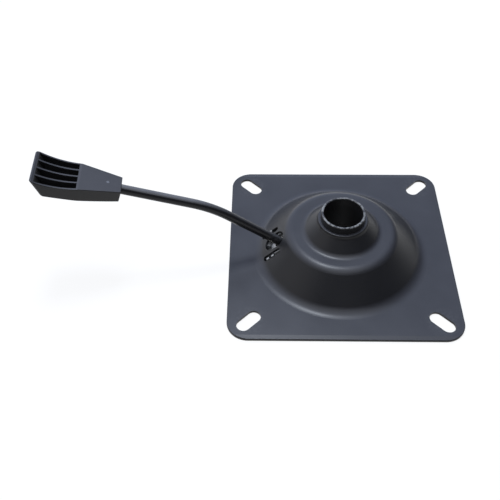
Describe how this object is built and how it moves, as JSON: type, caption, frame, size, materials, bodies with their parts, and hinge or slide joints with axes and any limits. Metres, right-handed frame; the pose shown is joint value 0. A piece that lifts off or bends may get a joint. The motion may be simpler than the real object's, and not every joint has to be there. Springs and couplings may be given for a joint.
{
  "type": "stool plate with gas-spring socket and height lever",
  "caption": "Square pressed-steel plate with slotted corners, a stepped dome, a tapered gas-spring socket on top and a bent sprung lever with a pocketed plastic paddle.",
  "frame": {"origin": "centre of the plate, on its flat mounting face", "axes": "+Z out of the socket's mouth, away from the mounting face; the lever runs out towards -X, turned 3 degrees towards -Y; the plate's sides lie along X and Y"},
  "size_m": [0.2917, 0.165, 0.0946],
  "materials": {
    "plate_paint": "satin black powder coat",
    "socket_paint": "satin black paint",
    "rod_paint": "satin black paint",
    "zinc": "bright zinc plate",
    "pin_steel": "bright turned steel",
    "spring_steel": "oiled spring steel",
    "black_plastic": "fine-grained moulded plastic"
  },
  "bodies": {
    "plate": {"mounting_plate": "plate_paint", "taper_socket": "socket_paint", "socket_weld": "socket_paint", "lever_bracket": "zinc", "pivot_pin": "pin_steel", "pin_clip": "spring_steel", "return_spring": "spring_steel"},
    "lever": {"lever_rod": "rod_paint", "lever_handle": "black_plastic", "handle_pin": "pin_steel"}
  },
  "joints": [
    {"name": "lever_pivot", "type": "hinge", "parent": "plate", "child": "lever", "pos_m": [-0.03938, -0.00206, 0.00839], "axis": [0.0523, -0.9986, 0], "range_deg": [0, 7], "stiffness_Nm_per_rad": 1.2, "springref_deg": -14.32, "deforming": ["return_spring"]}
  ]
}
